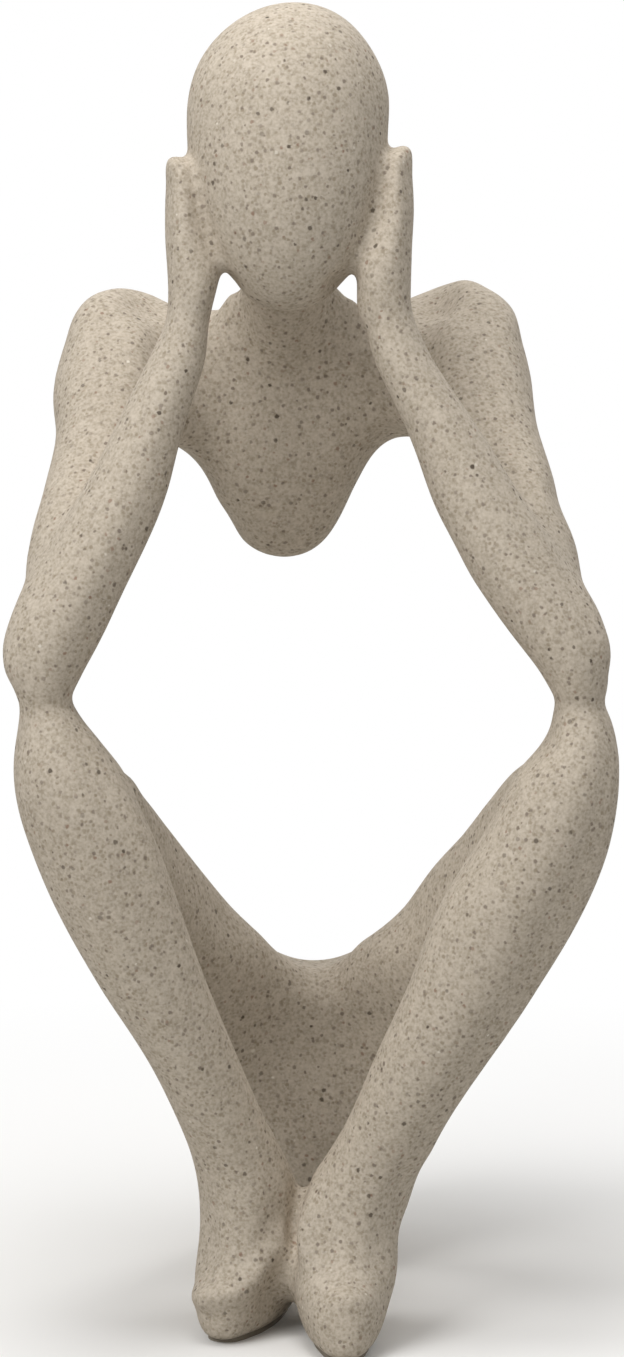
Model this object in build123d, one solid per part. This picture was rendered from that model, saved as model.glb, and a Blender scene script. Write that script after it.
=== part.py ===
from build123d import *
import math
import os

# A seated abstract figure, millimetres. It faces -Y, Z is up from the table, and its left side is
# the -X side, as seen from the front. Outward places are measured from the middle, X = 0.

# Heights above the table
pad_thickness = 0.8
ankle_height = 12.0
knee_rest_height = 66.0
wrist_height = 104.0
head_height = 122.4

# Joints, out to each side and forward towards -Y
head_middle = -2.4
chest_middle = -3.0
left_ankle_out = 6.5
right_ankle_out = 3.9
left_ankle_forward = 11.5
right_ankle_forward = 15.0
knee_rest_out = 26.4
knee_rest_forward = 18.0
left_wrist_out = 12.2
right_wrist_out = 7.5
wrist_forward = 8.6

# Head, an egg on an axis that leans forward
head_radius = 10.15
head_crown = 11.6
head_chin = 19.5
head_forward = 2.0
head_lean = 18.0
crown_share = 0.56
chin_share = 0.58
jaw_share = 0.60

# Hands, flat blades along the cheeks
left_hand_length = 14.8
right_hand_length = 15.6
hand_breadth = 5.0
hand_depth = 9.4
wrist_breadth = 4.6
wrist_depth = 6.4

# Forearms
forearm_breadth = 9.8
forearm_depth = 10.4

# The narrow place where each elbow stands on its knee
knee_rest_breadth = 5.4
knee_rest_depth = 7.6

# Shins
left_shin_breadth = 12.8
right_shin_breadth = 14.3
shin_depth = 12.4
shin_bow = 3.4
ankle_breadth = 9.9
ankle_depth = 9.6

# Feet
foot_breadth = 9.4
foot_length = 18.6
left_sole_out = 6.5
right_sole_out = 2.9
left_sole_forward = 11.1
right_sole_forward = 17.5
left_foot_turn = 22.0
right_foot_turn = -4.0

# Chest, a shield with its point down, and the shoulders beside it
chest_top = 100.9
chest_drop = 26.0
chest_out = 11.0
chest_depth = 12.4
chest_back = 14.0
left_shoulder_out = 19.3
right_shoulder_out = 16.1
shoulder_height = 96.3
shoulder_back = 13.4

# Neck, from inside the chest up into the head
neck_breadth = 8.8
neck_depth = 9.4
neck_foot_height = 97.0
neck_foot_back = 12.0
neck_top_drop = 9.4
neck_top_back = 1.5

# Upper arms, each ending above, behind and inside the place where its elbow stands
upper_arm_breadth = 11.2
upper_arm_depth = 11.6
elbow_rise = 7.0
elbow_setback = 2.6
left_elbow_inset = 0.6
right_elbow_inset = 1.6

# Pelvis and thighs, each thigh ending below and behind the place where its elbow stands
seat_middle = 0.6
seat_top = 31.9
seat_depth = 24.0
seat_back = 14.5
seat_out = 6.6
hip_out = 10.9
hip_height = 28.0
hip_back = 8.5
thigh_breadth = 13.4
thigh_depth = 13.6
knee_drop = 6.4
knee_setback = 1.4
left_knee_inset = 0.8
right_knee_inset = -0.4

# Dowel pins and their glue gap; a share says how far along or up its joint a pin sits
pin_diameter = 2.4
pin_length = 9.0
wrist_pin_diameter = 1.4
wrist_pin_length = 6.0
glue_gap = 0.1
neck_pin_share = 0.62
elbow_pin_share = 0.12
knee_pin_share = 0.30
shoulder_pin_share = 0.50
seat_pin_share = 0.62

# Pads under the seat and the soles, a little smaller than what they stand under
pad_share = 0.88

# Steps along each half of the smooth outline of a section
oval_steps = 5

# Sections of the standing limbs, as shares. A row gives the rise from the lower joint to the upper
# one, how far across the limb has come to the upper one, its bow, its breadth and its depth.
left_shin_shares = [
    (0.08, 0.02, 0.20, 0.77, 0.80),
    (0.18, 0.12, 0.50, 0.70, 0.80),
    (0.33, 0.30, 0.85, 0.75, 0.86),
    (0.48, 0.49, 1.00, 0.86, 0.95),
    (0.62, 0.65, 1.00, 0.97, 1.00),
    (0.77, 0.80, 0.85, 0.98, 1.00),
    (0.87, 0.90, 0.60, 0.84, 0.92),
    (0.94, 0.95, 0.30, 0.62, 0.76),
]
right_shin_shares = [
    (0.08, 0.06, 0.20, 0.76, 0.80),
    (0.18, 0.18, 0.50, 0.69, 0.80),
    (0.33, 0.36, 0.85, 0.79, 0.86),
    (0.48, 0.55, 1.00, 0.90, 0.95),
    (0.62, 0.70, 1.00, 0.98, 1.00),
    (0.77, 0.88, 0.85, 0.87, 1.00),
    (0.87, 0.96, 0.60, 0.72, 0.92),
    (0.94, 1.01, 0.30, 0.50, 0.76),
]
left_forearm_shares = [
    (0.05, -0.01, 0.00, 0.68, 0.84),
    (0.14, 0.02, 0.00, 0.97, 0.97),
    (0.27, 0.17, 0.00, 1.03, 1.00),
    (0.40, 0.36, 0.00, 0.98, 0.95),
    (0.53, 0.54, 0.00, 0.88, 0.88),
    (0.65, 0.67, 0.00, 0.75, 0.80),
    (0.78, 0.81, 0.00, 0.66, 0.72),
    (0.90, 0.94, 0.00, 0.56, 0.65),
]
right_forearm_shares = [
    (0.05, 0.01, 0.00, 0.60, 0.84),
    (0.14, 0.06, 0.00, 0.92, 0.97),
    (0.27, 0.22, 0.00, 1.06, 1.00),
    (0.40, 0.39, 0.00, 1.04, 0.95),
    (0.53, 0.54, 0.00, 0.92, 0.88),
    (0.65, 0.66, 0.00, 0.79, 0.80),
    (0.78, 0.81, 0.00, 0.68, 0.72),
    (0.90, 0.94, 0.00, 0.59, 0.65),
]
# Up a hand: the rise, how far it leans in to the cheek, the breadth and the depth
hand_shares = [
    (0.22, 0.12, 1.20, 0.84),
    (0.60, 0.06, 1.12, 1.00),
    (0.86, 0.03, 1.00, 0.97),
    (1.00, 0.00, 0.84, 0.84),
]
# Down a foot: the drop, how far the section has come to the sole's place, its breadth and length
foot_shares = [
    (0.28, 0.45, 1.06, 0.72),
    (0.58, 0.85, 1.04, 0.98),
    (0.80, 0.97, 0.92, 1.02),
    (1.00, 1.00, 0.68, 0.95),
]
# Out across the chest: the place, the drop of its lower edge and its depth
chest_shares = [
    (0.00, 1.00, 1.00),
    (0.41, 0.92, 1.00),
    (0.63, 0.75, 0.98),
    (0.84, 0.59, 0.96),
    (1.00, 0.53, 0.96),
]
# Down an upper arm from its shoulder to its elbow: the fall, the way across and the way forward,
# the depth and the breadth
left_upper_arm_shares = [
    (0.00, 0.00, 0.00, 1.10, 1.13),
    (0.07, 0.16, 0.16, 1.08, 1.06),
    (0.29, 0.17, 0.38, 1.00, 1.00),
    (0.56, 0.38, 0.63, 0.95, 0.96),
    (0.79, 0.74, 0.83, 0.88, 0.90),
    (1.00, 1.00, 1.00, 0.68, 0.70),
]
right_upper_arm_shares = [
    (0.00, 0.00, 0.00, 1.10, 1.13),
    (0.07, 0.06, 0.16, 1.08, 1.06),
    (0.29, 0.10, 0.38, 1.00, 1.00),
    (0.56, 0.40, 0.63, 0.95, 0.96),
    (0.79, 0.73, 0.83, 0.88, 0.90),
    (1.00, 1.00, 1.00, 0.68, 0.70),
]
# Out across the seat: the place, the heights of the lap and of the underside, and the depth
seat_shares = [
    (0.00, 1.00, -0.12, 1.00),
    (0.50, 1.02, -0.09, 0.99),
    (1.00, 1.10, 0.08, 0.92),
]
# Up a thigh from its hip to its knee: the rise, the way across and forward, depth and breadth
thigh_shares = [
    (0.00, 0.00, 0.00, 1.28, 1.32),
    (0.30, 0.33, 0.30, 1.08, 1.10),
    (0.57, 0.62, 0.56, 1.00, 1.00),
    (0.78, 0.83, 0.78, 0.92, 0.92),
    (1.00, 1.00, 1.00, 0.62, 0.64),
]


def place(out, forward, height):
    """A point of the figure."""
    return Vector(out, -forward, height)


def between(first, last, share):
    """The value a share of the way from the first to the last."""
    return first + (last - first) * share


def oval(centre, breadth, depth, side=Vector(1, 0, 0), along=Vector(0, 0, 1)):
    """An oval section across a limb, with its breadth to the side."""
    turns = [math.pi * index / oval_steps for index in range(oval_steps + 1)]
    half = [(breadth / 2 * math.cos(turn), depth / 2 * math.sin(turn)) for turn in turns]
    far = Spline(*half, tangents=[(0, 1), (0, -1)])
    near = Spline(*[(-x, -y) for x, y in half], tangents=[(0, -1), (0, 1)])
    return Plane(origin=centre, x_dir=side, z_dir=along) * make_face([far, near])


def standing_limb(lower, upper, size, lower_size, upper_size, shares, bow=0):
    """A limb of level sections from its lower joint to its upper one."""
    sections = [oval(lower, *lower_size)]
    for rise, across, bend, wide, deep in shares:
        centre = Vector(
            between(lower.X, upper.X, across),
            between(lower.Y, upper.Y, rise) - bow * bend,
            between(lower.Z, upper.Z, rise),
        )
        sections.append(oval(centre, size[0] * wide, size[1] * deep))
    sections.append(oval(upper, *upper_size))
    return loft(sections)


def hand(wrist, length):
    """A flat hand from the wrist up, leaning back with the head."""
    sections = [oval(wrist, wrist_breadth, wrist_depth)]
    for rise, lean, wide, deep in hand_shares:
        height = length * rise
        inward = math.copysign(hand_breadth * lean, -wrist.X)
        centre = wrist + Vector(inward, height * math.tan(math.radians(head_lean)), height)
        sections.append(oval(centre, hand_breadth * wide, hand_depth * deep))
    return loft(sections)


def foot(ankle, sole, turn):
    """A foot from its ankle down to its sole, turned to point its toes."""
    sections = [oval(ankle, ankle_breadth, ankle_depth)]
    for drop, spread, wide, deep in foot_shares:
        angle = math.radians(turn) * spread
        centre = Vector(
            between(ankle.X, sole.X, spread),
            between(ankle.Y, sole.Y, spread),
            between(ankle.Z, sole.Z, drop),
        )
        side = Vector(math.cos(angle), -math.sin(angle), 0)
        sections.append(oval(centre, foot_breadth * wide, foot_length * deep, side))
    return loft(sections)


def limb_centres(root, tip, shares):
    """Centres of a limb's sections from its root in the body to its tip."""
    return [
        Vector(
            between(root.X, tip.X, across),
            between(root.Y, tip.Y, forward),
            between(root.Z, tip.Z, rise),
        )
        for rise, across, forward, _, _ in shares
    ]


def limb_sections(root, tip, shares, size, outward):
    """Sections square to a limb that leaves the body outward, none of them turned on the limb."""
    sections = []
    side = Vector(0, -1, 0)
    centres = limb_centres(root, tip, shares)
    steps = [after - before for before, after in zip(centres, centres[1:])]
    body_axis = Vector(outward, 0, 0)
    before = [body_axis] + [step.normalized() for step in steps]
    after = [step.normalized() for step in steps] + [steps[-1].normalized()]
    for index, centre in enumerate(centres):
        along = (before[index] + after[index]).normalized() * outward
        side = (side - along * side.dot(along)).normalized()
        wide, deep = shares[index][3:]
        sections.append(oval(centre, size[0] * wide, size[1] * deep, side, along))
    return sections


def upright_oval(out, back, height, rise, depth):
    """A section across the middle of the body, with its depth from front to back."""
    return oval(place(out, -back, height), depth, rise, Vector(0, -1, 0), Vector(1, 0, 0))


def mirrored_rows(shares):
    """The rows of a table out to one side, then out to the other."""
    return [(-share, *rest) for share, *rest in shares[:0:-1]] + shares


# Joints
left_rest = place(-knee_rest_out, knee_rest_forward, knee_rest_height)
right_rest = place(knee_rest_out, knee_rest_forward, knee_rest_height)
left_wrist = place(-left_wrist_out, wrist_forward, wrist_height)
right_wrist = place(right_wrist_out, wrist_forward, wrist_height)
left_ankle = place(-left_ankle_out, left_ankle_forward, ankle_height)
right_ankle = place(right_ankle_out, right_ankle_forward, ankle_height)
left_sole = place(-left_sole_out, left_sole_forward, pad_thickness)
right_sole = place(right_sole_out, right_sole_forward, pad_thickness)

# Head: the profile of an egg turned about its axis
head_profile = make_face(
    [
        Bezier(
            (head_radius, 0),
            (head_radius, head_crown * crown_share),
            (head_radius * crown_share, head_crown),
            (0, head_crown),
        ),
        Line((0, head_crown), (0, -head_chin)),
        Bezier(
            (0, -head_chin),
            (head_radius * chin_share, -head_chin),
            (head_radius, -head_chin * jaw_share),
            (head_radius, 0),
        ),
    ]
)
head_centre = place(head_middle, head_forward, head_height)
upright_head = revolve(Plane.XZ * head_profile, Axis.Z)
head = Pos(*head_centre) * Rot(X=-head_lean) * upright_head

# Standing limbs
rest_size = (knee_rest_breadth, knee_rest_depth)
ankle_size = (ankle_breadth, ankle_depth)
wrist_size = (wrist_breadth, wrist_depth)
left_shin = standing_limb(
    left_ankle, left_rest, (left_shin_breadth, shin_depth), ankle_size, rest_size,
    left_shin_shares, shin_bow,
)
right_shin = standing_limb(
    right_ankle, right_rest, (right_shin_breadth, shin_depth), ankle_size, rest_size,
    right_shin_shares, shin_bow,
)
left_forearm = standing_limb(
    left_rest, left_wrist, (forearm_breadth, forearm_depth), rest_size, wrist_size,
    left_forearm_shares,
)
right_forearm = standing_limb(
    right_rest, right_wrist, (forearm_breadth, forearm_depth), rest_size, wrist_size,
    right_forearm_shares,
)
left_hand = hand(left_wrist, left_hand_length)
right_hand = hand(right_wrist, right_hand_length)
left_foot = foot(left_ankle, left_sole, left_foot_turn)
right_foot = foot(right_ankle, right_sole, right_foot_turn)

# Chest and upper arms
chest_sections = [
    upright_oval(
        chest_middle + chest_out * share,
        chest_back,
        chest_top - chest_drop * drop / 2,
        chest_drop * drop,
        chest_depth * deep,
    )
    for share, drop, deep in mirrored_rows(chest_shares)
]
left_shoulder = place(-left_shoulder_out, -shoulder_back, shoulder_height)
right_shoulder = place(right_shoulder_out, -shoulder_back, shoulder_height)
left_elbow = left_rest + Vector(left_elbow_inset, elbow_setback, elbow_rise)
right_elbow = right_rest + Vector(-right_elbow_inset, elbow_setback, elbow_rise)
upper_arm_size = (upper_arm_breadth, upper_arm_depth)
chest = loft(chest_sections)
left_arm_sections = limb_sections(
    left_shoulder, left_elbow, left_upper_arm_shares, upper_arm_size, -1
)
right_arm_sections = limb_sections(
    right_shoulder, right_elbow, right_upper_arm_shares, upper_arm_size, 1
)
left_upper_arm = loft([chest_sections[0]] + left_arm_sections)
right_upper_arm = loft([chest_sections[-1]] + right_arm_sections)

# Pelvis and thighs
seat_sections = [
    upright_oval(
        seat_middle + seat_out * share,
        seat_back,
        seat_top * (lap + under) / 2,
        seat_top * (lap - under),
        seat_depth * deep,
    )
    for share, lap, under, deep in mirrored_rows(seat_shares)
]
left_hip = place(seat_middle - hip_out, -hip_back, hip_height)
right_hip = place(seat_middle + hip_out, -hip_back, hip_height)
left_knee = left_rest + Vector(left_knee_inset, knee_setback, -knee_drop)
right_knee = right_rest + Vector(-right_knee_inset, knee_setback, -knee_drop)
thigh_size = (thigh_depth, thigh_breadth)
pelvis = loft(seat_sections)
left_thigh_sections = limb_sections(left_hip, left_knee, thigh_shares, thigh_size, -1)
right_thigh_sections = limb_sections(right_hip, right_knee, thigh_shares, thigh_size, 1)
left_thigh = loft([seat_sections[0]] + left_thigh_sections)
right_thigh = loft([seat_sections[-1]] + right_thigh_sections)

# Neck
neck_foot = place(chest_middle, -neck_foot_back, neck_foot_height)
neck_top = place(head_middle, -neck_top_back, head_height - neck_top_drop)
neck_run = (neck_top - neck_foot).normalized()
neck = loft(
    [
        oval(neck_foot, neck_breadth, neck_depth, along=neck_run),
        oval(neck_top, neck_breadth, neck_depth, along=neck_run),
    ]
)

# Castings that meet: each one gives way to the one that runs past it
chest = chest + neck - head
left_hand = left_hand - head
right_hand = right_hand - head
left_upper_arm = left_upper_arm - left_forearm
right_upper_arm = right_upper_arm - right_forearm
left_thigh = left_thigh - left_shin
right_thigh = right_thigh - right_shin
right_leg = right_foot + right_shin
left_foot = left_foot - right_leg
left_shin = left_shin - right_leg
seat_plane = Plane(origin=(0, 0, pad_thickness))
pelvis = split(pelvis, bisect_by=seat_plane, keep=Keep.TOP)


def rod(centre, along, diameter, length):
    """A round bar about its centre."""
    plane = Plane(origin=centre, z_dir=along)
    return plane * Cylinder(diameter / 2, length)


def dowels(places, diameter, length):
    """Glued pins, and the holes drilled for them: a place is a centre and a direction."""
    pins = [rod(centre, along, diameter, length) for centre, along in places]
    holes = [
        rod(centre, along, diameter + 2 * glue_gap, length + 2 * glue_gap) for centre, along in places
    ]
    return pins, holes


def last_run(root, tip, shares, share):
    """A place on the last stretch of a limb, and the limb's direction there."""
    *_, before, end = limb_centres(root, tip, shares)
    return between(before, end, share), (end - before).normalized()


def across(section, rise):
    """A place in an upright section at a share of its height, and the direction across the body."""
    box = section.bounding_box()
    centre = box.center()
    return Vector(centre.X, centre.Y, between(box.min.Z, box.max.Z, rise)), Vector(1, 0, 0)


up = Vector(0, 0, 1)
neck_pin, neck_hole = dowels(
    [(between(neck_foot, neck_top, neck_pin_share), neck_run)], pin_diameter, pin_length
)
shoulder_pins, shoulder_holes = dowels(
    [across(chest_sections[0], shoulder_pin_share), across(chest_sections[-1], shoulder_pin_share)],
    pin_diameter,
    pin_length,
)
hip_pins, hip_holes = dowels(
    [across(seat_sections[0], seat_pin_share), across(seat_sections[-1], seat_pin_share)],
    pin_diameter,
    pin_length,
)
elbow_pins, elbow_holes = dowels(
    [
        last_run(left_shoulder, left_elbow, left_upper_arm_shares, elbow_pin_share),
        last_run(right_shoulder, right_elbow, right_upper_arm_shares, elbow_pin_share),
    ],
    pin_diameter,
    pin_length,
)
knee_pins, knee_holes = dowels(
    [
        last_run(left_hip, left_knee, thigh_shares, knee_pin_share),
        last_run(right_hip, right_knee, thigh_shares, knee_pin_share),
    ],
    pin_diameter,
    pin_length,
)
knee_rest_pins, knee_rest_holes = dowels(
    [(left_rest, up), (right_rest, up)], pin_diameter, pin_length
)
ankle_pins, ankle_holes = dowels([(left_ankle, up), (right_ankle, up)], pin_diameter, pin_length)
wrist_pins, wrist_holes = dowels(
    [(left_wrist, up), (right_wrist, up)], wrist_pin_diameter, wrist_pin_length
)


def pad(casting):
    """A pad under the flat underside of a casting."""
    face = casting.faces().filter_by(GeomType.PLANE).sort_by(Axis.Z)[0]
    smaller = Pos(*(face.center() * (1 - pad_share))) * scale(face, pad_share)
    return extrude(smaller, pad_thickness, dir=(0, 0, -1))


nodes = {
    "head": head - neck_hole,
    "chest": chest - neck_hole - shoulder_holes,
    "left_upper_arm": left_upper_arm - [shoulder_holes[0], elbow_holes[0]],
    "right_upper_arm": right_upper_arm - [shoulder_holes[1], elbow_holes[1]],
    "left_forearm": left_forearm - [elbow_holes[0], knee_rest_holes[0], wrist_holes[0]],
    "right_forearm": right_forearm - [elbow_holes[1], knee_rest_holes[1], wrist_holes[1]],
    "left_hand": left_hand - wrist_holes[0],
    "right_hand": right_hand - wrist_holes[1],
    "pelvis": pelvis - hip_holes,
    "left_thigh": left_thigh - [hip_holes[0], knee_holes[0]],
    "right_thigh": right_thigh - [hip_holes[1], knee_holes[1]],
    "left_shin": left_shin - [knee_rest_holes[0], knee_holes[0], ankle_holes[0]],
    "right_shin": right_shin - [knee_rest_holes[1], knee_holes[1], ankle_holes[1]],
    "left_foot": left_foot - ankle_holes[0],
    "right_foot": right_foot - ankle_holes[1],
    "neck_pin": Compound(neck_pin),
    "shoulder_pins": Compound(shoulder_pins),
    "elbow_pins": Compound(elbow_pins),
    "knee_rest_pins": Compound(knee_rest_pins),
    "wrist_pins": Compound(wrist_pins),
    "hip_pins": Compound(hip_pins),
    "knee_pins": Compound(knee_pins),
    "ankle_pins": Compound(ankle_pins),
    "seat_pad": pad(pelvis),
    "foot_pads": Compound([pad(left_foot), pad(right_foot)]),
}
os.makedirs("parts", exist_ok=True)
for name, shape in nodes.items():
    export_step(shape, f"parts/{name}.step")
    print(name, len(shape.solids()), round(shape.volume, 1))
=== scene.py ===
import math

import bmesh
import bpy
import numpy as np
import openvdb
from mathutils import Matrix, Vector
from mathutils.kdtree import KDTree


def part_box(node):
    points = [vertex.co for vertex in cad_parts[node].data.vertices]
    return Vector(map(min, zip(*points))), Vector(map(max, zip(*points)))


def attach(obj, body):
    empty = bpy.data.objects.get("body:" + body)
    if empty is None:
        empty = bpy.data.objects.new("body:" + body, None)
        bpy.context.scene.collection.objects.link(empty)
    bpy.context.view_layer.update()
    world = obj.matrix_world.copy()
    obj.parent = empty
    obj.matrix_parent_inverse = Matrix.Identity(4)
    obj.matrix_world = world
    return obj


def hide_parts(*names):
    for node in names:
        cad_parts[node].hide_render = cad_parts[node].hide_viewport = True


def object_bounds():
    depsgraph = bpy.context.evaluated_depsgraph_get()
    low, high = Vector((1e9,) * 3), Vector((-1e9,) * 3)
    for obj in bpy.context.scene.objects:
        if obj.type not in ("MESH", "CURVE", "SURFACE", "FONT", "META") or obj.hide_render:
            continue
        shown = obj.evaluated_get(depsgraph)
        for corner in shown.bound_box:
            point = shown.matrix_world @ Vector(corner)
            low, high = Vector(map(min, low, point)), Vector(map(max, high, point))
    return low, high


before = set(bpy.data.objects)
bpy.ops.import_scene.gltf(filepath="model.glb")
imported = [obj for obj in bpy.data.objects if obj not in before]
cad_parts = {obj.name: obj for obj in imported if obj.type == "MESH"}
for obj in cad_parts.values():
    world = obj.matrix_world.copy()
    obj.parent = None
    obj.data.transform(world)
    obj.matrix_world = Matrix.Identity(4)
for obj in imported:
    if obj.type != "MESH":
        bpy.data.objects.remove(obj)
cad_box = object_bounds()

# A seated figure with its head in its hands, cast in sections that hidden pins join.
# It faces -Y, and its left side is the -X side, as seen from the front. Lengths are in millimetres
# and become metres where a mesh or an object is made.
metre = 1000

# The photograph's frame, in pixels, and how it sees the figure, in millimetres and degrees
photo_height = 1357
pixels_per_mm = 9.8
camera_distance = 650.0
camera_elevation = 11.0
aim_height = 64.9
sensor_height = 24.0

voxel = 0.32
group_voxel = 0.6
spare_voxels = 2

# Casting: the least rounding of a crease and of an edge, and of the crease round the head
crease_radius = 0.9
edge_radius = 0.8
head_crease = 0.4

# Castings that run into each other: the rounding of the creases between them, and of their edges
blends = [
    (["chest", "left_upper_arm", "right_upper_arm"], 5.0, 2.4),
    (["pelvis", "left_thigh", "right_thigh"], 12.0, 4.0),
    (["left_forearm", "left_hand"], 1.1, 0.8),
    (["right_forearm", "right_hand"], 1.1, 0.8),
    (["left_shin", "left_foot"], 6.0, 0.8),
    (["right_shin", "right_foot"], 6.0, 0.8),
]

# Strokes on the clay of the model: a place, how far the stroke reaches each way, and its push
strokes = [
    # The lap's rim, and the V between the shins
    ((-0.5, 12.0, 33.6), (12.0, 16.0, 6.0), (0.0, 0.0, -1.7)),
    ((12.5, -0.6, 44.8), (6.0, 8.0, 7.0), (-0.2, 0.0, 0.3)),
    ((-5.0, 8.0, 36.0), (6.0, 8.0, 5.0), (0.0, 0.0, -0.5)),
    ((-0.9, -14.6, 14.4), (2.0, 4.0, 3.4), (0.1, 1.8, -1.8)),
    # The slopes from the neck down to the shoulders
    ((-8.2, 9.2, 100.8), (2.4, 4.0, 3.0), (0.0, 0.0, 1.9)),
    ((2.8, 8.8, 101.5), (3.0, 4.0, 3.2), (0.0, 0.0, 2.3)),
    ((5.0, 9.4, 100.8), (2.8, 4.0, 2.8), (0.0, 0.0, 2.0)),
    # The corners and tops of the shoulders
    ((-23.8, 12.0, 101.0), (4.0, 9.0, 4.0), (-0.2, 0.0, 0.6)),
    ((-21.0, 12.0, 102.0), (4.0, 9.0, 3.0), (0.0, 0.0, 0.4)),
    ((-16.6, 12.6, 102.3), (4.5, 9.0, 4.0), (0.0, 0.0, -0.7)),
    ((-25.2, 7.2, 97.0), (4.0, 9.0, 5.0), (0.3, 0.0, 0.0)),
    ((20.4, 12.5, 101.0), (3.6, 9.0, 4.0), (0.3, 0.0, 0.6)),
    ((21.5, 8.0, 97.0), (4.0, 9.0, 6.0), (-0.4, 0.0, 0.0)),
    ((16.8, 14.0, 102.6), (4.0, 9.0, 3.0), (0.0, 0.0, 0.5)),
    ((12.0, 15.5, 102.6), (4.4, 9.0, 4.0), (0.0, 0.0, -1.9)),
    # The outsides of the arms, down to the elbows
    ((22.7, -0.2, 88.0), (4.0, 8.0, 9.0), (0.6, 0.0, 0.2)),
    ((25.2, -8.5, 84.0), (3.5, 6.0, 5.0), (-0.6, 0.0, -0.3)),
    ((27.6, -12.8, 76.0), (3.5, 7.0, 4.5), (1.0, 0.0, 0.1)),
    ((28.6, -19.4, 67.0), (2.6, 4.0, 2.6), (0.4, 0.0, 0.0)),
    ((-26.3, -3.0, 88.0), (3.5, 7.0, 6.0), (-0.4, 0.0, 0.0)),
    ((-28.6, -12.4, 76.4), (3.2, 7.0, 4.4), (-0.7, 0.0, 0.1)),
    ((-29.6, -20.0, 69.6), (2.6, 4.0, 2.6), (-0.3, 0.0, -0.1)),
    ((-28.5, -19.8, 66.2), (2.6, 4.0, 2.0), (-0.4, 0.0, 0.0)),
    # The right armpit, the chest's point and its left slope, and the inside of the right arm
    ((8.6, 12.0, 87.5), (9.0, 14.0, 5.0), (0.0, 0.0, 1.4)),
    ((-1.8, 10.8, 76.8), (6.0, 8.0, 5.0), (0.0, 0.0, -0.2)),
    ((-8.0, 11.5, 79.3), (3.0, 8.0, 3.0), (0.3, 0.0, 0.2)),
    ((14.0, -12.0, 81.0), (3.0, 6.0, 7.0), (0.3, 0.0, 0.0)),
    # The knees, in and out
    ((24.0, -19.0, 64.0), (2.6, 5.0, 3.0), (0.4, 0.0, 0.0)),
    ((-22.5, -18.0, 64.5), (2.6, 5.0, 3.0), (-0.3, 0.0, 0.0)),
    ((-29.8, -22.0, 60.0), (3.0, 6.0, 7.0), (0.2, 0.0, 0.0)),
    ((30.2, -22.0, 58.0), (3.0, 6.0, 8.0), (-0.2, 0.0, 0.0)),
    ((-18.6, -14.0, 58.5), (5.0, 8.0, 6.0), (0.5, 0.0, 0.5)),
    ((22.5, -20.0, 62.0), (3.5, 6.0, 4.0), (0.4, 0.0, -0.3)),
    # The outsides of the shins
    ((-17.0, -18.0, 30.0), (5.0, 9.0, 14.0), (0.3, 0.0, 0.0)),
    ((26.5, -20.0, 45.0), (5.0, 9.0, 13.0), (0.3, 0.0, 0.0)),
    # The hands: square tops, palms drawn back from the cheeks and opened under the jaw
    ((-13.8, -6.4, 118.0), (2.6, 5.0, 2.4), (-0.4, 0.0, 0.8)),
    ((9.4, -4.8, 119.2), (2.6, 5.0, 2.4), (0.4, 0.0, 0.9)),
    ((-10.5, -9.0, 113.0), (2.8, 4.0, 9.0), (0.0, 2.0, 0.0)),
    ((6.2, -8.5, 113.5), (2.8, 4.0, 9.0), (0.0, 2.0, 0.0)),
    ((-9.2, -7.0, 107.0), (3.2, 6.0, 4.5), (-0.3, 0.5, 1.6)),
    ((-10.0, -9.0, 102.5), (3.0, 5.0, 6.0), (-0.1, 0.0, 0.0)),
    ((5.0, -9.0, 103.8), (2.4, 4.0, 2.2), (-0.6, 0.0, 0.0)),
    ((4.2, -7.0, 107.3), (3.2, 6.0, 4.5), (0.2, 0.5, 1.8)),
    ((10.1, -4.6, 114.0), (2.4, 6.0, 6.0), (0.2, 0.0, 0.0)),
    ((-15.0, -8.0, 106.0), (2.5, 6.0, 6.0), (0.2, 0.0, 0.0)),
    # The ankles: filled in front, and the line between them, where the right one overlaps
    ((-6.8, -16.8, 12.0), (6.5, 5.0, 7.0), (0.0, -1.1, 0.0)),
    ((5.0, -20.4, 12.5), (6.5, 5.0, 7.0), (0.0, -1.0, 0.0)),
    ((-2.6, -15.8, 9.8), (2.6, 4.0, 3.8), (0.3, -1.0, 0.0)),
    ((-1.6, -16.5, 11.5), (1.3, 3.0, 4.5), (0.0, 2.0, 0.0)),
    ((0.2, -19.2, 11.5), (2.2, 4.0, 5.5), (-1.5, -0.4, 0.0)),
    # The feet: their sides, the ridges above the blunt toe faces, and the rims before the pads
    ((-11.4, -18.2, 4.8), (2.2, 3.5, 1.8), (-0.7, -0.3, 0.0)),
    ((-11.0, -17.5, 9.5), (2.4, 4.5, 5.0), (0.7, 0.0, 0.0)),
    ((8.0, -20.0, 9.0), (2.2, 4.5, 5.0), (0.5, 0.0, 0.0)),
    ((9.8, -19.0, 17.5), (3.0, 5.0, 5.0), (-0.7, 0.0, 0.0)),
    ((-10.4, -19.2, 5.0), (2.2, 2.5, 1.8), (-0.2, -0.8, 0.2)),
    ((-8.2, -19.8, 5.4), (2.8, 2.5, 2.0), (0.0, -0.9, 0.3)),
    ((-6.0, -18.8, 6.6), (2.4, 2.5, 2.2), (0.3, -0.8, 0.3)),
    ((-4.6, -17.6, 8.6), (2.0, 2.5, 2.4), (0.3, -0.5, 0.3)),
    ((-8.4, -19.4, 1.2), (5.0, 3.0, 1.8), (0.0, -0.4, 0.0)),
    ((-4.6, -17.0, 4.4), (2.4, 3.0, 2.4), (-0.3, 0.6, 0.0)),
    ((3.6, -25.6, 6.6), (4.6, 2.5, 2.0), (0.0, -0.6, 0.4)),
    ((3.6, -26.0, 1.2), (5.0, 3.0, 1.8), (0.0, -0.4, 0.0)),
]

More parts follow.
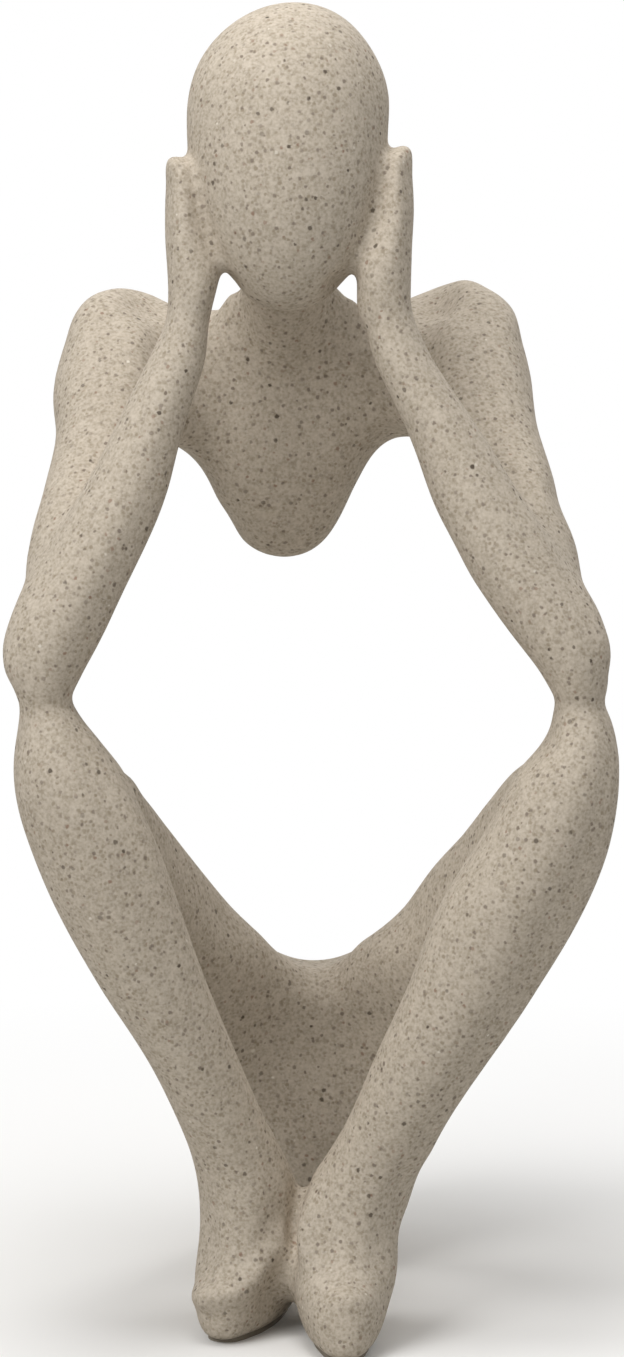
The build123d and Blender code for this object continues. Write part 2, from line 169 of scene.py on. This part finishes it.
# Strokes on the head: the crown leans to the right, and the jaw narrows above the neck
head_strokes = [
    ((-2.4, 0.0, 131.5), (11.0, 14.0, 9.0), (0.7, 0.0, 0.0)),
    ((8.4, 0.0, 127.0), (5.0, 12.0, 6.0), (0.2, 0.0, 0.0)),
    ((9.6, 0.0, 120.5), (4.0, 12.0, 5.0), (-0.2, 0.0, 0.0)),
    ((2.6, -8.5, 106.8), (2.2, 4.0, 2.2), (-1.0, 0.0, 0.3)),
    ((-8.0, -7.5, 106.6), (2.2, 4.0, 2.2), (0.5, 0.0, 0.3)),
]

# Where the clay is rubbed smooth over the elbows, and how many times, there and at last all over
rubbed = [
    ((27.0, -12.0, 77.0), (8.0, 10.0, 10.0)),
    ((-28.0, -12.0, 77.0), (8.0, 10.0, 10.0)),
]
rubs = 120
last_rubs = 3

# Soles and seat: how low the resin comes round the pads, how far above the soles it is still drawn
# down, and the room round a pad
rim_height = 0.25
rim_reach = 4.0
pad_clearance = 0.12

# Sections: how far past its own solid a casting is cut, which is more where the ankle is filled,
# the room round a pin, the fewest faces of a shell that isn't a crumb of a cut, and how far out the
# upright cuts reach
seam_reach = 0.8
ankle_reach = 1.8
pin_clearance = 0.12
crumb_faces = 60
tool_reach = 100.0

# A face belongs to the outside where it turns from the skin by less than the angle of this cosine
skin_cosine = 0.5

# Castings that run past their neighbours are cut out first, in this order, and how far past
# themselves. What is then left lies loose, with the upper arms still on the chest and the thighs on
# the pelvis.
running_castings = [
    ("head", seam_reach),
    ("right_forearm", seam_reach),
    ("left_forearm", seam_reach),
    ("right_shin", ankle_reach),
    ("left_shin", seam_reach),
    ("right_foot", ankle_reach),
]
loose_castings = ["left_hand", "right_hand", "left_foot", "chest", "pelvis"]
upright_cuts = [
    ("chest", -1, "left_upper_arm"),
    ("chest", 1, "right_upper_arm"),
    ("pelvis", -1, "left_thigh"),
    ("pelvis", 1, "right_thigh"),
]
pins = [
    "neck_pin",
    "shoulder_pins",
    "elbow_pins",
    "knee_rest_pins",
    "wrist_pins",
    "hip_pins",
    "knee_pins",
    "ankle_pins",
]
pads = ["seat_pad", "foot_pads"]

# Resin: sizes of the mottling, and of the grains by the distance between them, in millimetres.
# A mottle gives its size, its share and its colour. A grain gives the distance between grains,
# its least and most radius, the softness of its edge, its strength and its colour.
base_tint = "#B8AC9A"
mottles = [
    (9.0, 0.50, "#ADA18F"),
    (2.4, 0.50, "#C4B8A8"),
    (0.8, 0.70, "#988C7A"),
    (0.3, 0.60, "#D0C5B6"),
]
grains = [
    (0.60, 0.13, 0.22, 0.45, 0.75, "#8F826D"),
    (0.82, 0.14, 0.22, 0.40, 0.85, "#73665A"),
    (1.40, 0.13, 0.21, 0.40, 0.80, "#876A57"),
    (1.60, 0.15, 0.25, 0.35, 0.95, "#4E4337"),
    (2.90, 0.12, 0.20, 0.35, 0.80, "#E6DFD2"),
]

# Where in the noise a mottle starts and is full, and how many times a kind's faintest grain is
# weaker than its strongest
mottle_start = 0.35
mottle_full = 0.65
grain_fading = 5

# Grains lie unevenly: the size of the ripple that shifts them, and by how much. The sanding is
# finer than this in truth, and is drawn as coarse as it shows.
grain_ripple = 0.3
grain_shift = 0.25
sand_grain = 0.16
sand_depth = 0.02

# Steel and rubber: how dark and how pale their grain makes them, as shares of their colour
darkest = 0.85
palest = 1.1

# Stage, in metres: the floor, where its shadow starts to fade and is gone, its colour for the
# camera and for the light that it throws back
floor_reach = 6.0
shadow_start = 0.035
shadow_end = 0.13
seen_floor = "#F4F3F1"
lit_floor = "#C4C3C0"

# Light: the room's strength, and for each lamp its name, place, size and watts
room_light = 0.50
lamps = [
    ("key", (-0.58, -0.66, 0.72), 0.5, 4.8),
    ("top", (-0.02, -0.05, 0.34), 0.12, 0.32),
    ("back", (0.3, 0.8, 0.8), 0.6, 3.0),
]


def colour(code):
    """An sRGB hex colour as the linear colour that a shader wants."""
    channels = [int(code[place:place + 2], 16) / 255 for place in (1, 3, 5)]
    linear = [c / 12.92 if c <= 0.04045 else ((c + 0.055) / 1.055) ** 2.4 for c in channels]
    return (*linear, 1.0)


def add_node(tree, kind, settings=None, links=None):
    """A node with its settings, which are its own or its sockets', and links into its sockets."""
    node = tree.nodes.new(kind)
    for name, value in (settings or {}).items():
        if isinstance(name, str) and hasattr(node, name):
            setattr(node, name, value)
        else:
            node.inputs[name].default_value = value
    for name, source in (links or {}).items():
        tree.links.new(source, node.inputs[name])
    return node


def add_object(name, data):
    """An object in the scene, at the origin."""
    item = bpy.data.objects.new(name, data)
    bpy.context.scene.collection.objects.link(item)
    return item


def triangles_of(names):
    """The corners and triangles of some CAD nodes as one set, in millimetres."""
    points = []
    triangles = []
    count = 0
    for name in names:
        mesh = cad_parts[name].data
        mesh.calc_loop_triangles()
        corners = np.empty(len(mesh.vertices) * 3, np.float32)
        mesh.vertices.foreach_get("co", corners)
        indices = np.empty(len(mesh.loop_triangles) * 3, np.int32)
        mesh.loop_triangles.foreach_get("vertices", indices)
        points.append(corners.reshape(-1, 3) * metre)
        triangles.append(indices.reshape(-1, 3) + count)
        count += len(mesh.vertices)
    return np.concatenate(points), np.concatenate(triangles).astype(np.uint32)


def skin_at(offset, points, grain=voxel, triangles=None, quads=None):
    """The closed surface that lies an offset outside the given one, as points and quads."""
    faces = {"triangles": triangles} if quads is None else {"quads": quads}
    field = openvdb.FloatGrid.createLevelSetFromPolygons(
        points,
        **faces,
        transform=openvdb.createLinearTransform(voxelSize=grain),
        halfWidth=abs(offset) / grain + spare_voxels,
    )
    return field.convertToQuads(offset)


def make_object(name, points, faces):
    """An object at the origin that shows a closed mesh, given in millimetres."""
    mesh = bpy.data.meshes.new(name)
    mesh.from_pydata(points / metre, [], faces.tolist())
    shell = bmesh.new()
    shell.from_mesh(mesh)
    bmesh.ops.recalc_face_normals(shell, faces=shell.faces)
    shell.to_mesh(mesh)
    shell.free()
    return add_object(name, mesh)


def rounded(points, crease, edge, grain=voxel, triangles=None, quads=None):
    """The surface with its creases and edges rounded.

    Growing it and drawing it back rounds the creases, and the other way about the edges.
    """
    points, quads = skin_at(crease, points, grain, triangles=triangles, quads=quads)
    points, quads = skin_at(-crease - edge, points, grain, quads=quads)
    return skin_at(edge, points, grain, quads=quads) if edge else (points, quads)


def joined(shapes):
    """Several quad surfaces as one set of points and quads."""
    starts = np.cumsum([0] + [len(points) for points, _ in shapes])
    quads = [quads + start for (_, quads), start in zip(shapes, starts)]
    return np.concatenate([points for points, _ in shapes]), np.concatenate(quads).astype(np.uint32)


def falloff(points, place, reach):
    """One at a place, fading smoothly to nothing at its reach."""
    away = np.linalg.norm((points - np.array(place)) / np.array(reach), axis=1)
    return np.clip(1 - away**2, 0, 1) ** 2


def push(points, place, reach, way):
    """Moves the skin near a place, as a thumb moves clay."""
    return points + falloff(points, place, reach)[:, None] * np.array(way)


def relax(points, quads, rounds, share=None):
    """Evens out the skin, all over or by a share for each of its points."""
    edges = np.concatenate([quads[:, [0, 1]], quads[:, [1, 2]], quads[:, [2, 3]], quads[:, [3, 0]]])
    edges = np.concatenate([edges, edges[:, ::-1]])
    weight = np.ones(len(points)) if share is None else share
    edges = edges[weight[edges[:, 0]] > 0]
    count = np.bincount(edges[:, 0], minlength=len(points)).clip(1)
    for _ in range(rounds):
        mean = np.stack(
            [
                np.bincount(edges[:, 0], points[edges[:, 1], axis], len(points)) / count
                for axis in range(3)
            ],
            axis=1,
        )
        points = points + (mean - points) * weight[:, None]
    return points


# Skin of the body: the trunk and the lap run softly into their limbs
shapes = []
for names, crease, edge in blends:
    points, triangles = triangles_of(names)
    shapes.append(rounded(points, crease, edge, group_voxel, triangles=triangles))
points, quads = joined(shapes)
points, quads = rounded(points, crease_radius, edge_radius, quads=quads)
for place, reach, way in strokes:
    points = push(points, place, reach, way)
rubbing = sum(falloff(points, place, reach) for place, reach in rubbed)
points = relax(points, quads, rubs, rubbing)
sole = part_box("foot_pads")[1].z * metre
near_floor = np.clip(1 - (points[:, 2] - sole) / rim_reach, 0, 1) ** 2
points[:, 2] -= near_floor * (sole - rim_height)

# The head, with its pin in its hole, is set on the body with a sharp crease round it
head_points, triangles = triangles_of(["head", "neck_pin"])
head_points, head_quads = rounded(head_points, head_crease, 0, triangles=triangles)
for place, reach, way in head_strokes:
    head_points = push(head_points, place, reach, way)
points, quads = joined([(points, quads), (head_points, head_quads)])
points, quads = rounded(points, head_crease, 0, quads=quads)
points = relax(points, quads, last_rubs)
figure = make_object("figure", points, quads)

# How the whole skin turns at each of its points, kept to shade the castings alike
skin_normals = [corner.normal.copy() for corner in figure.data.vertices]
skin_tree = KDTree(len(skin_normals))
for index, corner in enumerate(figure.data.vertices):
    skin_tree.insert(corner.co, index)
skin_tree.balance()


def cut(item, tool, operation):
    """The mesh left when a tool cuts an item."""
    modifier = item.modifiers.new("cut", "BOOLEAN")
    modifier.operation = operation
    modifier.object = tool
    modifier.solver = "MANIFOLD"
    graph = bpy.context.evaluated_depsgraph_get()
    mesh = bpy.data.meshes.new_from_object(item.evaluated_get(graph))
    item.modifiers.remove(modifier)
    return mesh


def box_tool(low, high):
    """A plain box that cuts, between two corners in millimetres."""
    tool = bmesh.new()
    bmesh.ops.create_cube(tool, size=1)
    size = Vector(high) - Vector(low)
    for corner in tool.verts:
        inward = Vector([size[axis] * (corner.co[axis] + 0.5) for axis in range(3)])
        corner.co = (Vector(low) + inward) / metre
    mesh = bpy.data.meshes.new("box_tool")
    tool.to_mesh(mesh)
    tool.free()
    return add_object("box_tool", mesh)


def take(rest, tool, name):
    """Cuts one casting out of the rest with a tool, and returns it."""
    piece = add_object(name, cut(rest, tool, "INTERSECT"))
    rest.data = cut(rest, tool, "DIFFERENCE")
    bpy.data.objects.remove(tool)
    return piece


def shells_of(shape):
    """The separate closed shells of a shape, as lists of its faces."""
    seen = set()
    found = []
    for start in shape.faces:
        if start in seen:
            continue
        shell = [start]
        seen.add(start)
        for face in shell:
            beside = {other for edge in face.edges for other in edge.link_faces} - seen
            seen |= beside
            shell.extend(beside)
        found.append(shell)
    return found


def split_loose(rest, names):
    """Gives each loose shell of the rest to the casting whose middle is nearest."""
    shape = bmesh.new()
    shape.from_mesh(rest.data)
    middles = {name: sum(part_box(name), Vector()) / 2 for name in names}
    owners = {name: set() for name in names}
    for shell in shells_of(shape):
        if len(shell) < crumb_faces:
            continue
        centre = sum((face.calc_center_median() for face in shell), Vector()) / len(shell)
        nearest = min(names, key=lambda name: (middles[name] - centre).length)
        owners[nearest].update(face.index for face in shell)
    found = {}
    for name, kept in owners.items():
        part = shape.copy()
        unwanted = [face for face in part.faces if face.index not in kept]
        bmesh.ops.delete(part, geom=unwanted, context="FACES")
        mesh = bpy.data.meshes.new(name + "_casting")
        part.to_mesh(mesh)
        part.free()
        found[name] = add_object(name + "_casting", mesh)
    shape.free()
    return found


def shade_outside(item):
    """Shades the outside as the whole skin is shaded, and leaves the joint faces flat."""
    mesh = item.data
    nearest = [skin_tree.find(corner.co)[1] for corner in mesh.vertices]
    normals = []
    for face in mesh.polygons:
        face.use_smooth = True
        outward = [skin_normals[nearest[index]] for index in face.vertices]
        outside = all(normal.dot(face.normal) > skin_cosine for normal in outward)
        normals.extend(outward if outside else [face.normal] * len(outward))
    mesh.normals_split_custom_set(normals)


# The castings: holes for the pins and pads first, then one casting after another out of the whole
for names, clearance in ((pins, pin_clearance), (pads, pad_clearance)):
    corners, faces = triangles_of(names)
    holes = make_object("holes", *skin_at(clearance, corners, triangles=faces))
    figure.data = cut(figure, holes, "DIFFERENCE")
    bpy.data.objects.remove(holes)
pieces = {}
for name, reach in running_castings:
    corners, faces = triangles_of([name])
    tool = make_object(name + "_tool", *skin_at(reach, corners, triangles=faces))
    pieces[name] = take(figure, tool, name + "_casting")
pieces.update(split_loose(figure, loose_castings))
bpy.data.objects.remove(figure)

# The limbs that run on from the chest and the pelvis are cut off at upright joints
low, high = [np.array(corner) * metre for corner in cad_box]
for body, side, name in upright_cuts:
    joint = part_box(body)[0 if side < 0 else 1].x * metre
    far = side * tool_reach
    tool = box_tool(
        (min(joint, far), *(low[1:] - seam_reach)),
        (max(joint, far), *(high[1:] + seam_reach)),
    )
    pieces[name] = take(pieces[body], tool, name + "_casting")


def empty_material(name):
    """A new material, and its tree with no nodes in it."""
    material = bpy.data.materials.new(name)
    material.use_nodes = True
    material.node_tree.nodes.clear()
    return material, material.node_tree


# Sandstone-effect cast resin: stone powder in polyester, cast and sanded. The powder mottles it in
# warm greys, its coarser grains show as dark and pale specks, and the sanding takes the gloss, so
# that the eye sees dry stone.
def mottling(tree, place):
    """The powder's colour, one mottle over the other."""
    under = {}
    for size, share, code in mottles:
        noise = add_node(
            tree, "ShaderNodeTexNoise", {"Scale": metre / size, "Detail": 3.0}, {"Vector": place}
        )
        amount = add_node(
            tree,
            "ShaderNodeMapRange",
            {"From Min": mottle_start, "From Max": mottle_full, "To Max": share},
            {"Value": noise.outputs["Fac"]},
        )
        layer = add_node(
            tree,
            "ShaderNodeMix",
            {"data_type": "RGBA", 6: colour(base_tint), 7: colour(code)},
            {0: amount.outputs["Result"], **under},
        )
        under = {6: layer.outputs[2]}
    return layer.outputs[2]


def with_grains(tree, place, base):
    """The base colour with the mineral grains in it, each of its own radius and strength."""
    ripple = add_node(
        tree,
        "ShaderNodeTexNoise",
        {"Scale": metre / grain_ripple, "Detail": 1.0},
        {"Vector": place},
    )
    shifted = add_node(
        tree,
        "ShaderNodeVectorMath",
        {"operation": "MULTIPLY_ADD", 1: [grain_shift / metre] * 3},
        {0: ripple.outputs["Color"], 2: place},
    )
    for cell, least, most, softness, strength, code in grains:
        cells = add_node(
            tree,
            "ShaderNodeTexVoronoi",
            {"Scale": metre / cell},
            {"Vector": shifted.outputs["Vector"]},
        )
        chance = add_node(
            tree, "ShaderNodeSeparateColor", links={"Color": cells.outputs["Color"]}
        )
        radius = add_node(
            tree,
            "ShaderNodeMapRange",
            {"To Min": least / cell, "To Max": most / cell},
            {"Value": chance.outputs["Red"]},
        )
        ratio = add_node(
            tree,
            "ShaderNodeMath",
            {"operation": "DIVIDE"},
            {0: cells.outputs["Distance"], 1: radius.outputs["Result"]},
        )
        inside = add_node(
            tree,
            "ShaderNodeMapRange",
            {
                "interpolation_type": "SMOOTHSTEP",
                "From Min": 1.0 + softness,
                "From Max": 1.0 - softness,
            },
            {"Value": ratio.outputs["Value"]},
        )
        depth = add_node(
            tree,
            "ShaderNodeMapRange",
            {"To Min": strength / grain_fading, "To Max": strength},
            {"Value": chance.outputs["Green"]},
        )
        amount = add_node(
            tree,
            "ShaderNodeMath",
            {"operation": "MULTIPLY"},
            {0: inside.outputs["Result"], 1: depth.outputs["Result"]},
        )
        layer = add_node(
            tree,
            "ShaderNodeMix",
            {"data_type": "RGBA", 7: colour(code)},
            {0: amount.outputs["Value"], 6: base},
        )
        base = layer.outputs[2]
    return base


def sandstone_resin():
    """The castings' material."""
    material, tree = empty_material("sandstone_cast_resin")
    place = add_node(tree, "ShaderNodeTexCoord").outputs["Object"]
    base = with_grains(tree, place, mottling(tree, place))
    sand = add_node(
        tree,
        "ShaderNodeTexNoise",
        {"Scale": metre / sand_grain, "Detail": 2.0},
        {"Vector": place},
    )
    bump = add_node(
        tree,
        "ShaderNodeBump",
        {"Strength": 1.0, "Distance": sand_depth / metre},
        {"Height": sand.outputs["Fac"]},
    )
    shader = add_node(
        tree,
        "ShaderNodeBsdfPrincipled",
        {"Roughness": 0.82, "IOR": 1.5, "Specular IOR Level": 0.35},
        {"Base Color": base, "Normal": bump.outputs["Normal"]},
    )
    add_node(tree, "ShaderNodeOutputMaterial", links={"Surface": shader.outputs["BSDF"]})
    return material


def plain_material(name, code, settings, grain, depth):
    """A plain material whose surface has one fine grain, with its size and depth in millimetres."""
    material, tree = empty_material(name)
    place = add_node(tree, "ShaderNodeTexCoord").outputs["Object"]
    noise = add_node(
        tree, "ShaderNodeTexNoise", {"Scale": metre / grain, "Detail": 2.0}, {"Vector": place}
    )
    shade = add_node(
        tree,
        "ShaderNodeMapRange",
        {"To Min": darkest, "To Max": palest},
        {"Value": noise.outputs["Fac"]},
    )
    tone = add_node(
        tree,
        "ShaderNodeVectorMath",
        {"operation": "SCALE", 0: colour(code)[:3]},
        {"Scale": shade.outputs["Result"]},
    )
    bump = add_node(
        tree, "ShaderNodeBump", {"Distance": depth / metre}, {"Height": noise.outputs["Fac"]}
    )
    shader = add_node(
        tree,
        "ShaderNodeBsdfPrincipled",
        settings,
        {"Base Color": tone.outputs["Vector"], "Normal": bump.outputs["Normal"]},
    )
    add_node(tree, "ShaderNodeOutputMaterial", links={"Surface": shader.outputs["BSDF"]})
    return material


def assign(item, material):
    """Gives an object one material."""
    item.data.materials.clear()
    item.data.materials.append(material)


resin = sandstone_resin()

# Drawn steel rod: smooth from the die but not polished, which gives bright grey with blurred glints
steel = plain_material(
    "drawn_steel_rod",
    "#8C8C8E",
    {"Metallic": 1.0, "Roughness": 0.35},
    grain=0.3,
    depth=0.004,
)

# Soft rubber sheet: rolled with a dull skin, which gives no glint, and near the resin's colour, so
# that the pads don't show as a dark line under it
rubber = plain_material(
    "soft_rubber_sheet",
    "#857C6E",
    {"Roughness": 0.9, "IOR": 1.52},
    grain=0.4,
    depth=0.02,
)
for name, piece in pieces.items():
    shade_outside(piece)
    assign(piece, resin)
    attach(piece, "root")
    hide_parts(name)
for name in pins:
    assign(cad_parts[name], steel)
for name in pads:
    assign(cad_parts[name], rubber)


# Stage: a pale floor, white where the camera sees it far from the figure
def floor_material():
    """Pale and matt near the figure, where it holds the shadow, and plain white beyond."""
    material, tree = empty_material("pale_floor")
    place = add_node(tree, "ShaderNodeTexCoord").outputs["Object"]
    away = add_node(tree, "ShaderNodeVectorMath", {"operation": "LENGTH"}, {0: place})
    far = add_node(
        tree,
        "ShaderNodeMapRange",
        {"From Min": shadow_start, "From Max": shadow_end},
        {"Value": away.outputs["Value"]},
    )
    rays = add_node(tree, "ShaderNodeLightPath")
    white = add_node(
        tree,
        "ShaderNodeMath",
        {"operation": "MULTIPLY"},
        {0: far.outputs["Result"], 1: rays.outputs["Is Camera Ray"]},
    )
    shade = add_node(
        tree,
        "ShaderNodeMix",
        {"data_type": "RGBA", 6: colour(lit_floor), 7: colour(seen_floor)},
        {0: rays.outputs["Is Camera Ray"]},
    )
    matt = add_node(tree, "ShaderNodeBsdfDiffuse", links={"Color": shade.outputs[2]})
    plain = add_node(tree, "ShaderNodeEmission", {"Color": colour("#FFFFFF"), "Strength": 1.0})
    mixed = add_node(
        tree,
        "ShaderNodeMixShader",
        links={0: white.outputs["Value"], 1: matt.outputs["BSDF"], 2: plain.outputs["Emission"]},
    )
    add_node(tree, "ShaderNodeOutputMaterial", links={"Surface": mixed.outputs["Shader"]})
    return material


floor_mesh = bpy.data.meshes.new("floor")
floor_mesh.from_pydata(
    [(x * floor_reach, y * floor_reach, 0) for x, y in ((-1, -1), (1, -1), (1, 1), (-1, 1))],
    [],
    [(0, 1, 2, 3)],
)
floor = add_object("floor", floor_mesh)
assign(floor, floor_material())

# The room: a soft light from all round, which the camera, metal and glass see as plain white
world = bpy.data.worlds.new("studio")
bpy.context.scene.world = world
world.use_nodes = True
room = world.node_tree
room.nodes.clear()
rays = add_node(room, "ShaderNodeLightPath")
soft = add_node(
    room, "ShaderNodeBackground", {"Color": colour("#FFFFFF"), "Strength": room_light}
)
white = add_node(room, "ShaderNodeBackground", {"Color": colour("#FFFFFF"), "Strength": 1.0})
seen = rays.outputs["Is Camera Ray"]
for kind in ("Is Glossy Ray", "Is Transmission Ray"):
    either = add_node(
        room, "ShaderNodeMath", {"operation": "MAXIMUM"}, {0: seen, 1: rays.outputs[kind]}
    )
    seen = either.outputs["Value"]
mixed = add_node(
    room,
    "ShaderNodeMixShader",
    links={0: seen, 1: soft.outputs["Background"], 2: white.outputs["Background"]},
)
add_node(room, "ShaderNodeOutputWorld", links={"Surface": mixed.outputs["Shader"]})

# Lamps: square ones that face the middle of the figure
aim = Vector((0, 0, aim_height / metre))
for name, place, size, watts in lamps:
    lamp = bpy.data.lights.new(name, "AREA")
    lamp.size = size
    lamp.energy = watts
    item = add_object(name, lamp)
    item.location = place
    item.visible_camera = False
    item.rotation_euler = (aim - Vector(place)).to_track_quat("-Z", "Y").to_euler()

# Camera: as far, as high and as long as the photograph's, with the figure as large in its frame
lens = bpy.data.cameras.new("camera")
lens.sensor_fit = "VERTICAL"
lens.sensor_height = sensor_height
lens.lens = sensor_height * pixels_per_mm * camera_distance / photo_height
camera = add_object("camera", lens)
raised = math.radians(camera_elevation)
camera.location = aim + Vector((0, -math.cos(raised), math.sin(raised))) * camera_distance / metre
camera.rotation_euler = (math.pi / 2 - raised, 0, 0)
bpy.context.scene.camera = camera
bpy.context.scene.view_settings.view_transform = "Standard"
